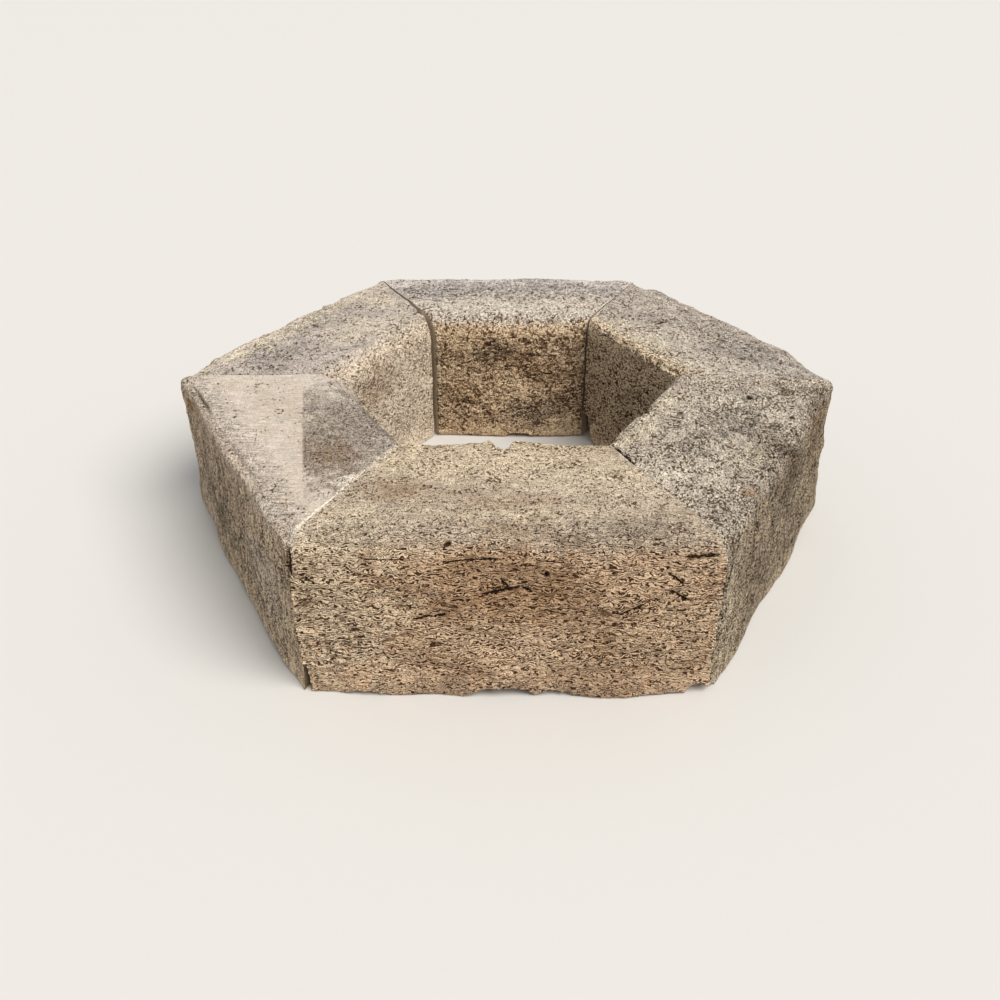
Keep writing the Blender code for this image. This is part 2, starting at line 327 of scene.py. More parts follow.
def swell(points, seed):
    # slow swell from -1 to 1: sine waves of three lengths, each in three drawn directions
    rng = np.random.default_rng(seed)
    total = np.zeros(points.shape[:-1])
    for wavelength in wear["swellWavelengths"]:
        for _ in range(wear["wavesPerLength"]):
            direction = rng.normal(size=3)
            direction /= np.linalg.norm(direction)
            phase = rng.uniform(0, 2 * math.pi)
            height = wavelength / sum(wear["swellWavelengths"])
            total += height * np.sin(2 * math.pi / wavelength * (points @ direction) + phase)
    return total


def neighbour(block, end):
    # the block on the other side of the first (0) or the last (1) joint
    joint = block["joints"][end]
    return next(other for other in blocks if other is not block and joint in other["joints"])


def flushShares(along):
    # how far a place has come flush with the first and the last neighbour: 1 at the joint, then
    # down a smooth step to 0
    reach = wear["flushReach"]
    return smoothStep(reach, 0, along), smoothStep(reach, 0, 1 - along)


def flushSwell(block, points, along, offset):
    # the block's own swell, becoming the mean of its own and its neighbour's at each joint
    own = swell(points, block["seed"] + offset)
    total = own.copy()
    for end, share in enumerate(flushShares(along)):
        near = share > 0
        other = swell(points[near], neighbour(block, end)["seed"] + offset)
        total[near] += share[near] * (other - own[near]) / 2
    return total


def wornForm(block, points, along, normals):
    # the block's form before its fine relief: bows and swell by the square of how far the
    # outline faces out, in or up, less what wear took off its upper arrises
    facingOut = np.clip(normals[:, 0], 0, None) ** 2
    facingIn = np.clip(-normals[:, 0], 0, None) ** 2
    facingUp = np.clip(normals[:, 1], 0, None) ** 2
    swellOut, swellUp, swellIn = wear["swell"]
    moved = facingOut * bow(along, *block["outerBow"]) + facingIn * bow(along, *block["innerBow"])
    height = swellOut * facingOut + swellIn * facingIn + swellUp * facingUp
    moved = moved + height * flushSwell(block, points, along, 0)
    arris = 4 * facingUp * (facingOut + facingIn)
    loss = np.clip(0.5 + flushSwell(block, points, along, wear["arrisSeed"]), 0, None)
    return moved - wear["arrisLoss"] * arris * loss


def reliefDirection(across, up, width, height):
    # unit vectors (across, up) from the nearest point of an inset core, so that they never cross
    inset = wear["coreInset"]
    away = np.stack([across, up], axis=-1)
    core = np.clip(away, inset, [width - inset, height - inset])
    away = away - core
    return away / np.linalg.norm(away, axis=-1, keepdims=True)


def chipDepth(local, heading, centre, radii, seed):
    # how far a point inside an uneven ellipsoid must sink along -heading to leave it: the larger
    # root t of |w - t m|^2 = 1, with w and m the offset and the heading over the radii
    knobs = fractalNoise(local / max(radii) * wear["chipKnobs"], seed, 3, 0.6)
    rough = 1 + wear["chipRoughness"] * knobs
    scaled = (local - centre) / radii / rough[..., None]
    m = heading / radii / rough[..., None]
    mm = (m * m).sum(axis=-1)
    wm = (scaled * m).sum(axis=-1)
    inside = 1 - (scaled * scaled).sum(axis=-1)
    root = wm + np.sqrt(np.clip(wm * wm + mm * inside, 0, None))
    return np.where(inside > 0, root / mm, 0)


def segmentDistance(local, start, end):
    # distance from each point to the segment between two points
    span = end - start
    share = np.clip(((local - start) @ span) / max(span @ span, 1e-12), 0, 1)
    return np.linalg.norm(local - start - share[..., None] * span, axis=-1)


def fineRelief(block, world, local, faces):
    # relief in metres above the worn form, the painted shade of each hollow place (0 to 1), and how high
    # it stands among its close surroundings (-1 to 1), which paints light on raised and shade on sunk
    # stone
    seed = block["seed"] * 100

    def strength(key):  # a value given for the outer face, the top and the hole's face
        return sum(value * share for value, share in zip(block[key], faces))

    bed = local / (relief["bedding"], 1.0, 1.0)
    lumps = fractalNoise(world / relief["lump"], 1, 3, 0.6)
    crumble = fractalNoise(bed / relief["crumb"], seed + 2, 3, 0.85)

    # ledges: a sawtooth down the face that stands out slowly and steps back at once, its rows
    # wandering with a noise
    bend = relief["ledgeWander"] * fractalNoise(bed / relief["ledgeBend"] + 5, seed + 3, 3, 0.65)
    rows = -local[..., 2] / relief["ledge"] + bend
    part = rows - np.floor(rows)
    rise, back = relief["ledgeRise"]
    patches = fractalNoise(bed / relief["ledgePatch"] + 2, seed + 4, 2)
    shown = smoothStep(*relief["ledgeLevels"], patches)
    ledges = shown * (np.minimum(part / rise, (1 - part) / back) - 0.5)
    begin, finish = relief["ledgeUnder"]
    under = shown * smoothStep(*begin, part) * smoothStep(*finish, part)

    # creases: valleys where a folded noise crosses zero, in patches
    drawn = local / (3.0, 2.0, 1.0)
    fold = softNoise(drawn / relief["crease"] + 9, seed + 5)
    fold = np.abs(fold + relief["fineFold"] * softNoise(drawn / relief["fineCrease"], seed + 6))
    patches = fractalNoise(bed / relief["creasePatch"], seed + 7, 2)
    creases = smoothStep(*relief["creaseLevels"], fold) * smoothStep(*relief["creasePatchLevels"], patches)

    # pits: round hollows of two sizes, in patches
    warpHeight, warpSize = relief["pitWarp"]
    warp = [softNoise(local / warpSize + k, seed + 8 + k) for k in range(3)]
    warped = local + warpHeight * np.stack(warp, -1)
    patches = fractalNoise(local / relief["pitPatch"] + 1, seed + 12, 2)
    pits = 0.0
    for number, (cell, share, least, greatest, deepest) in enumerate(relief["pitKinds"]):
        depth = cell * roundPits(warped / cell, seed + 13 + number, share, least, greatest)
        pits = pits + np.minimum(depth, deepest)
    pits = pits * smoothStep(*relief["pitPatchLevels"], patches) * strength("pits")

    height = strength("lumps") * lumps + strength("crumble") * crumble + strength("ledges") * ledges
    height = height - strength("creases") * creases - pits
    # painted shade: creases, the hollow under each ledge and pits darken the stone, fully at these depths
    dark = relief["darkCrease"]
    hollow = np.maximum(creases * strength("creases") / dark, under * strength("ledges") / dark)
    hollow = np.clip(np.maximum(hollow, pits / relief["darkPit"]), 0, 1)
    # painted light on raised crumbs and ledges, painted shade on sunk ones
    crumbShare, ledgeShare = relief["raisedLightShares"]
    return height, hollow, np.clip(crumbShare * crumble + ledgeShare * ledges, -1, 1)


def grooveField(block, local, toLocal):
    # the nearest groove: signed distance from its line in half widths, 1 over its length with
    # tapering ends, and its depth in metres where it cuts the face
    nearest = np.full(local.shape[:-1], relief["grooveFar"])
    side, shown, depths = nearest.copy(), np.zeros(nearest.shape), np.zeros(nearest.shape)
    for start, end, halfWidth, depth in block["grooves"]:
        start, end = toLocal(start), toLocal(end)
        span = end - start
        facing = (0.0, 0.0, 1.0) if min(start[2], end[2]) > relief["topFrom"] else (0.0, 1.0, 0.0)
        span = span - (span @ facing) * np.array(facing)
        across = np.cross(span, facing)
        offset = (local - start) @ facing
        flat = local - offset[..., None] * facing
        signed = (local - start) @ across / np.linalg.norm(across) / halfWidth
        share = ((local - start) @ span) / (span @ span)
        taper = smoothStep(-0.02, 0.16, share) * smoothStep(1.02, 0.84, share)
        taper = taper * smoothStep(*relief["grooveReach"], np.abs(offset))
        far = segmentDistance(flat, start, start + span) / halfWidth
        depths = np.maximum(depths, depth * taper * smoothStep(1.6, 0.3, far))
        closer = far < nearest
        nearest = np.where(closer, far, nearest)
        side = np.where(closer, np.clip(signed, -4, 4), side)
        shown = np.where(closer, taper * smoothStep(4.0, 3.0, far), shown)
    return side, shown, depths


def endLoss(block, local, distances):
    # what is lost at the two mitre arrises, and where their break is fresh: an exponential fall
    # with the distance from the mitre, uneven along it
    loss, fresh = 0.0, 0.0
    seed = block["seed"] * 100 + 40
    uneven = 0.5 + 0.5 * fractalNoise(local / relief["mitreUneven"], seed, 3)
    spall = smoothStep(0.25, 0.8, fractalNoise(local / relief["mitreSpall"], seed + 5, 3))
    for distance, (lossDepth, spallDepth, freshWidth, freshShare) in zip(distances, block["endWear"]):
        loss = loss + lossDepth * (0.3 + 1.4 * uneven) * np.exp(-distance / relief["mitreWear"])
        loss = loss + spallDepth * spall * np.exp(-distance / relief["spallWear"])
        edge = freshWidth * (0.30 + 0.9 * uneven + 2.0 * spall)
        fresh = np.maximum(fresh, freshShare * smoothStep(1.25 * edge, 0.65 * edge, distance))
    return loss, fresh


def patch(kind, at, radii, share, ragged=0.9, soft=0.6, grain=0.03, cut=None):
    # one patch of colour: its middle as (along, across, height), its radii in metres, how strong
    # it is, how ragged and soft its edge is, the size of its rags, and a straight edge if any
    return {"kind": kind, "at": at, "radii": radii, "share": share, "ragged": ragged, "soft": soft,
            "grain": grain, "cut": cut}


def markStrength(block, kind, local, toLocal):
    # how strongly the patches of one kind cover each point: an ellipsoid's falloff with an uneven
    # edge, cut straight where a patch has a cut line
    total = np.zeros(local.shape[:-1])
    marks = [mark for mark in block["marks"] if mark["kind"] == kind]
    for number, mark in enumerate(marks):
        centre = toLocal(mark["at"])
        reach = np.linalg.norm((local - centre) / mark["radii"], axis=-1)
        uneven = fractalNoise(local / mark["grain"], block["seed"] * 100 + 60 + number, 5, 0.6)
        cover = smoothStep(1.0, 1.0 - mark["soft"], reach + mark["ragged"] * uneven)
        if mark["cut"]:
            start, end = (toLocal(point) for point in mark["cut"])
            side = np.array([end[1] - start[1], start[0] - end[0], 0.0])
            side /= np.linalg.norm(side)
            cover = cover * smoothStep(-0.004, 0.004, (local - start) @ side + 0.003 * uneven)
        total = np.maximum(total, mark["share"] * cover)
    return total


def flushOutlines(block, width):
    # the block's own outline, those it takes at its first and last joint, where its height and
    # arrises are the mean of its own and its neighbour's, and its outward directions
    height = ring["height"] + block["rise"]
    counts = outlineCounts(width, height, block["arrises"], block["cells"])
    own, normals = section(width, height, block["arrises"], counts)
    found = [own]
    for end in (0, 1):
        other = neighbour(block, end)
        arrises = [(a + b) / 2 for a, b in zip(block["arrises"], other["arrises"])]
        meanHeight = ring["height"] + (block["rise"] + other["rise"]) / 2
        found.append(section(width, meanHeight, arrises, counts)[0])
    return found, normals


def stationShares(block, ends, width):
    # shares of the length at which sections stand: even steps, with finer ones at both mitres
    middle = place(ends, width, np.array([0.0, 1.0]), np.full(2, width / 2), np.zeros(2))
    length = float(np.linalg.norm(middle[1] - middle[0]))
    fine = np.array(wear["edgeCells"]) / length
    count = round((length - wear["edgeAllowance"]) / block["step"])
    even = np.linspace(wear["evenFrom"], length - wear["evenFrom"], count) / length
    return np.concatenate([fine, even, 1 - fine[::-1]])


def sinkChips(block, local, heading, toLocal):
    # how deep the deepest chip sinks each point, and which points lie in a small hole painted with shade
    sunk, holeShade = np.zeros(local.shape[:-1]), np.zeros(local.shape[:-1])
    heading3 = np.concatenate([np.zeros(heading.shape[:-1] + (1,)), heading], axis=-1)
    for number, (*spot, radii) in enumerate(block["chips"]):
        seed = block["seed"] * 100 + 80 + number
        depth = chipDepth(local, heading3, toLocal(spot), np.array(radii), seed)
        sunk = np.maximum(sunk, depth)
        # a small chip gets painted shade as a dark hole
        if max(radii) < wear["holeSize"]:
            holeShade = np.maximum(holeShade, smoothStep(0.001, 0.005, depth))
    return sunk, holeShade


def endCaps(shell, index, centres):
    # points, quads and triangles that close the two mitred ends: rings that shrink to a middle
    points, quads, triangles = [], [], []
    total, around = index.size, index.shape[1]
    for end, centre in zip((0, -1), centres):
        turn = 1 if end == 0 else -1
        edge, previous = shell[end], index[end]
        for share in wear["capShares"]:
            points.append(centre + (edge - centre) * share)
            current = total + np.arange(around)
            total += around
            loop = [previous, np.roll(previous, -1), np.roll(current, -1), current]
            quads.append(np.stack(loop[::turn], axis=-1))
            previous = current
        points.append(centre[None])
        fan = [previous, np.roll(previous, -1), np.full(around, total)]
        triangles.append(np.stack(fan[::turn], axis=-1))
        total += 1
    return points, quads, triangles


def blockShape(block):
    # points, quads, triangles and attributes of one block
    ends = blockEnds(block)
    run, outward, width = blockAxes(ends)
    height = ring["height"] + block["rise"]
    (own, first, last), normals = flushOutlines(block, width)
    shares = stationShares(block, ends, width)
    along = np.repeat(shares[:, None], len(own), axis=1)
    towardFirst, towardLast = (share[..., None] for share in flushShares(along))
    outline = own + towardFirst * (first - own) + towardLast * (last - own)
    across, up = outline[..., 0], outline[..., 1]
    moved = wornForm(block, place(ends, width, along, across, up), along, normals)
    across = across + moved * normals[:, 0]
    up = up + moved * normals[:, 1]

    origin = ends[0][0]

    def asLocal(points):
        plan = points[..., :2] - origin
        return np.stack([plan @ run, plan @ outward, points[..., 2]], axis=-1)

    def toLocal(spot):
        along, across, up = (np.array(float(v)) for v in spot)
        return asLocal(place(ends, width, along, across * width, up))

    heading = reliefDirection(across, up, width, height)
    local = asLocal(place(ends, width, along, across, up))
    sunk, holeShade = sinkChips(block, local, heading, toLocal)
    across = across - sunk * heading[..., 0]
    up = up - sunk * heading[..., 1]
    world = place(ends, width, along, across, up)
    local = asLocal(world)
    faces = [np.clip(heading[..., 0], 0, None) ** 2, np.clip(heading[..., 1], 0, None) ** 2,
             np.clip(-heading[..., 0], 0, None) ** 2]
    raised, hollow, lift = fineRelief(block, world, local, faces)
    hollow = np.maximum(hollow, holeShade)
    grooveSide, grooveShown, grooveDepth = grooveField(block, local, toLocal)
    raised = raised - grooveDepth
    lengths = (ends[1][0] - ends[0][0]) @ run + across / width * (
        (ends[1][1] - ends[1][0] - ends[0][1] + ends[0][0]) @ run)
    loss, fresh = endLoss(block, local, (along * lengths, (1 - along) * lengths))
    raised = raised - loss
    across = across + raised * heading[..., 0]
    up = np.maximum(up + raised * heading[..., 1], 0.0)
    lowest, highest = (np.array(corner) for corner in cadBox)
    shell = np.clip(place(ends, width, along, across, up), lowest, highest)

    index = np.arange(along.size).reshape(along.shape)
    nextIndex = np.roll(index, -1, axis=1)
    sides = np.stack([index[:-1], index[1:], nextIndex[1:], nextIndex[:-1]], axis=-1).reshape(-1, 4)
    corners = [np.append(place(ends, width, np.array(share), np.array(width / 2), np.array(0.0))[:2],
                         height / 2) for share in (0.0, 1.0)]
    capPoints, capQuads, capTriangles = endCaps(shell, index, corners)
    points = np.concatenate([shell.reshape(-1, 3), *capPoints])
    capCount = len(points) - along.size
    sawn = np.repeat(block["sawn"], capCount // 2)

    def onShell(values, capValue=0.0):
        return np.concatenate([values.reshape(-1), np.full(capCount, capValue)])

    def byFace(key):
        return sum(value * share for value, share in zip(block[key], faces))

    attributes = {
        "top": onShell(np.where(heading[..., 0] > 0, smoothStep(0.40, 0.80, heading[..., 1]),
                                smoothStep(*block["topReach"], heading[..., 1]))),
        "inside": onShell(smoothStep(0.1, 0.6, -heading[..., 0])),
        "hollow": onShell(hollow),
        "lift": onShell(lift),
        "grooveSide": onShell(grooveSide),
        "grooved": onShell(grooveShown),
        "fresh": onShell(fresh * smoothStep(0.25, 0.55, heading[..., 1])),
        "sawn": np.concatenate([np.zeros(along.size), sawn]),
        "rough": onShell(byFace("rough"), wear["sawnRough"]),
        "pitted": onShell(byFace("pores"), wear["sawnPores"]),
        "creased": onShell(byFace("lines")),
        "streaked": onShell(byFace("streaks")),
    }
    for kind in ("grime", "lichen", "rust", "pale"):
        attributes[kind] = onShell(markStrength(block, kind, local, toLocal))
    return points, np.concatenate([sides, *capQuads]), np.concatenate(capTriangles), attributes


def makeMesh(name, points, quads, triangles, attributes):
    # one mesh object from arrays, smooth but for its sharp breaks, with a float attribute each
    mesh = bpy.data.meshes.new(name)
    mesh.vertices.add(len(points))
    mesh.vertices.foreach_set("co", points.astype(np.float32).ravel())
    corners = np.concatenate([quads.ravel(), triangles.ravel()])
    mesh.loops.add(len(corners))
    mesh.loops.foreach_set("vertex_index", corners.astype(np.int32))
    starts = np.concatenate([4 * np.arange(len(quads)), 4 * len(quads) + 3 * np.arange(len(triangles))])
    mesh.polygons.add(len(starts))
    mesh.polygons.foreach_set("loop_start", starts.astype(np.int32))
    mesh.update(calc_edges=True)
    mesh.validate()
    mesh.shade_smooth()
    mesh.set_sharp_from_angle(angle=math.radians(wear["sharpAngle"]))
    for key, values in attributes.items():
        mesh.attributes.new(key, "FLOAT", "POINT").data.foreach_set("value", values.astype(np.float32))
    piece = bpy.data.objects.new(name, mesh)
    bpy.context.scene.collection.objects.link(piece)
    return piece


def addNode(tree, kind, settings, inputs, output=0):
    # one node: its settings, its inputs in their order or by name (a link, a number or a hex
    # colour), and which output it gives back
    node = tree.nodes.new("ShaderNode" + kind)
    for key, value in settings.items():
        setattr(node, key, value)
    for key, value in (inputs if isinstance(inputs, dict) else dict(enumerate(inputs))).items():
        if isinstance(value, bpy.types.NodeSocket):
            tree.links.new(value, node.inputs[key])
        else:
            node.inputs[key].default_value = hexToLinear(value) if isinstance(value, str) else value
    return node.outputs[output]


def weatheredLimestone(block):
    # Oolitic limestone, sawn long ago and left outdoors: a matt, porous, grainy calcite stone.
    # It scatters light with hardly any gloss and carries painted shade in its pores, cracks, creases,
    # grooves and under its ledges, and painted light on raised grain; it is greyer on top where lichen and
    # rain worked on it, and cream where an edge has newly broken.
    stone = block["stone"]
    material = bpy.data.materials.new(block["name"] + "WeatheredLimestone")
    material.use_nodes = True
    tree = material.node_tree
    shader = tree.nodes["Principled BSDF"]
    add = partial(addNode, tree)

    def calculation(operation):  # a function that adds this operation on links and numbers
        return lambda *values: add("Math", {"operation": operation}, values)

    def ramp(value, low, high, least=0.0, most=1.0):  # smoothly from least at low to most at high
        return add("MapRange", {"interpolation_type": "SMOOTHSTEP"}, {
            "Value": value, "From Min": low, "From Max": high, "To Min": least, "To Max": most})

    def blend(share, first, second, mode="MIX"):  # two colours, with this share of the second
        return add("Mix", {"data_type": "RGBA", "blend_type": mode}, {
            "Factor": share, 6: first, 7: second}, 2)

    times, plus, minus, timesPlus, larger, smaller, power, absolute, fraction = map(calculation, (
        "MULTIPLY", "ADD", "SUBTRACT", "MULTIPLY_ADD", "MAXIMUM", "MINIMUM", "POWER", "ABSOLUTE", "FRACT"))
    run = blockAxes(blockEnds(block))[0]
    bearing = math.atan2(run[1], run[0])
    at = {"piece": add("TexCoord", {}, {}, "Object")}
    for name, (source, scale, turned, shift) in patternPlaces.items():
        at[name] = add("Mapping", {}, {
            "Vector": at[source], "Scale": scale, "Rotation": (0, 0, -bearing if turned else 0),
            "Location": (block["seed"] * shift, 0, 0)})
    noise, shown = {}, {}
    for name, (source, unit, breadth, detail, roughness, distortion, *levels) in patterns.items():
        noise[name] = add("TexNoise", {}, {
            "Vector": at[source], "Scale": 1 / (breadth * block.get(unit, 1.0)), "Detail": detail,
            "Roughness": roughness, "Distortion": distortion}, "Fac")
        if levels:
            shown[name] = ramp(noise[name], *levels)
    attribute = {key: add("Attribute", {"attribute_name": key}, {}, "Fac") for key in (
        "top", "inside", "hollow", "lift", "grooveSide", "grooved", "fresh", "sawn", "rough", "pitted",
        "creased", "streaked", "grime", "lichen", "rust", "pale")}

    # tone of a hand's and of a thumb's breadth, between two colours for each face
    shade = timesPlus(shown["mottle"], weights["mottle"], weights["leastShade"])
    shade = timesPlus(shown["cloud"], weights["cloud"], shade)
    outer, inner, upper = (blend(shade, *stone[face]) for face in ("outer", "inner", "top"))
    colour = blend(attribute["top"], blend(attribute["inside"], outer, inner), upper)

    # layers over it, most of them broken up by a noise of their own: grey film of rain and lichen
    # on the top, rust-brown patches, grimy patches with one painted shadow along a foot, pale worn ones
    # with one painted light beside a joint, dark lichen, new breaks, sawn ends, one of them painted light
    film = times(attribute["top"], stone["film"])
    for layer in ("film", "rust", "grime", "pale", "lichen", "fresh", "sawn"):
        cover = film if layer == "film" else attribute[layer]
        if layer in shown:
            cover = times(cover, shown[layer])
        colour = blend(cover, colour, stone[layer + "Colour"])

    # plates of the bedding: rows a few millimetres high, bent by a slower noise, each standing out
    # towards its foot and stepping back there, over a crack of painted shade that swells and thins out
    across, up = add("SeparateXYZ", {}, (at["turned"],)).node.outputs[1:]
    rows = timesPlus(across, weights["plateLean"], up)
    flow = times(noise["flow"], weights["plateBend"])
    rows = timesPlus(rows, 1 / block["plate"], flow)
    plate = fraction(rows)
    thick = timesPlus(attribute["grime"], weights["crackGrimeAndShade"], attribute["creased"])
    thick = minus(times(shown["crack"], thick), plate)
    crack = times(ramp(thick, 0.0, weights["crackEdge"]), ramp(plate, 0.0, weights["crackFoot"]))

    # contrast of grains and crumbs, their own speckle with painted shade where each lies lowest, of
    # plates, painted light at each plate's top and painted shade at its foot, and of the relief, painted
    # light on raised and shade on sunk stone
    parts = (
        plus(shown["grain"], -weights["middle"]),
        plus(shown["crumb"], -weights["middle"]),
        times(plus(plate, -0.5), attribute["creased"]),
        attribute["lift"],
    )
    tone = 0.0
    for part, share in zip(parts, stone["contrast"]):
        tone = timesPlus(part, share, tone)

    # fine streaks: level on the top, hanging on the outer face
    streak = add("Mix", {"data_type": "FLOAT"}, {
        "Factor": attribute["top"], 2: noise["hangingStreak"], 3: noise["levelStreak"]})
    streak = timesPlus(times(attribute["streaked"], plus(streak, -0.5)), weights["streak"], 1.0)
    rough = timesPlus(attribute["grime"], weights["grimeAndShadeRough"], attribute["rough"])
    tone = smaller(timesPlus(tone, rough, streak), weights["brightest"])

    # painted shade in pores, where a noise falls below a level that drifts and rises with how pitted the
    # stone is
    drift = weights["poreDrift"]
    poreLevel = timesPlus(noise["poreCluster"], drift, -drift / 2)
    poreLevel = timesPlus(attribute["pitted"], weights["poreGain"], poreLevel)
    pore = ramp(minus(noise["pore"], poreLevel), *weights["poreEdge"])
    # painted shade in the hollows: creases, ledge feet, pits and small holes
    hollow = ramp(attribute["hollow"], *weights["hollowEdge"])

    # grooves, painted dark with shade: how far a place lies inside a line that wobbles and has ragged
    # edges
    bend, rag = weights["grooveBend"], weights["grooveRag"]
    wobble = timesPlus(noise["grooveWobble"], bend, -bend / 2)
    aside = absolute(plus(attribute["grooveSide"], wobble))
    aside = times(aside, weights["grooveFall"])
    groove = minus(attribute["grooved"], aside)
    groove = plus(groove, timesPlus(noise["grooveRag"], rag, -rag / 2))
    groove = ramp(groove, *weights["grooveEdge"])

    # the darkest of these painted shades darkens the stone
    dark = larger(times(pore, weights["poreDark"]), crack)
    dark = times(larger(dark, hollow), weights["hollowDark"])
    dark = larger(dark, times(groove, weights["grooveDark"]))
    tone = larger(times(tone, minus(1.0, dark)), weights["darkest"])

    # stone darker than its own colour, painted shade included, is also redder: red falls by less than
    # green, and blue by more
    darker = smaller(tone, 1.0)
    red, blue = (times(tone, power(darker, weights[key])) for key in ("redPower", "bluePower"))
    tint = add("CombineColor", {}, {"Red": red, "Green": tone, "Blue": blue})
    colour = blend(1.0, colour, tint, "MULTIPLY")

    # the same grains, plates and hollows stand up and sink in, in millimetres
    heights = weights["heights"]
    height = times(noise["grain"], heights["grain"])
    height = timesPlus(noise["crumb"], heights["crumb"], height)
    plates = times(plate, attribute["creased"])
    height = timesPlus(plates, heights["plate"], height)
    height = times(height, rough)
    height = timesPlus(dark, heights["dark"], height)
    bump = add("Bump", {}, {"Strength": 1.0, "Distance": 0.001, "Height": height})
    tree.links.new(colour, shader.inputs["Base Color"])
    tree.links.new(bump, shader.inputs["Normal"])
    shader.inputs["Roughness"].default_value = stone["roughness"]
    shader.inputs["IOR"].default_value = 1.5
    shader.inputs["Specular IOR Level"].default_value = 0.25
    return material


def makeBlock(block):
    piece = makeMesh(block["name"], *blockShape(block))
    piece.data.materials.append(weatheredLimestone(block))
    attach(piece, "root")
    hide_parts(block["node"])
    print("made", block["name"], "with", len(piece.data.polygons), "faces")
    return piece


commonStone = {
    "roughness": 0.95, "film": 0.45,
    "contrast": (0.80, 0.25, 0.50, 0.15),  # of grain, crumb, plate and relief
    "outer": ("#cca987", "#f6daba"), "inner": ("#8c7458", "#b39a7a"), "top": ("#c2b09b", "#f0e0c9"),
    "filmColour": "#b3ada3", "rustColour": "#9c7040", "grimeColour": "#5f564c", "paleColour": "#ecdfc6",
    "lichenColour": "#4b4945", "freshColour": "#eadfce", "sawnColour": "#6f6350",
}

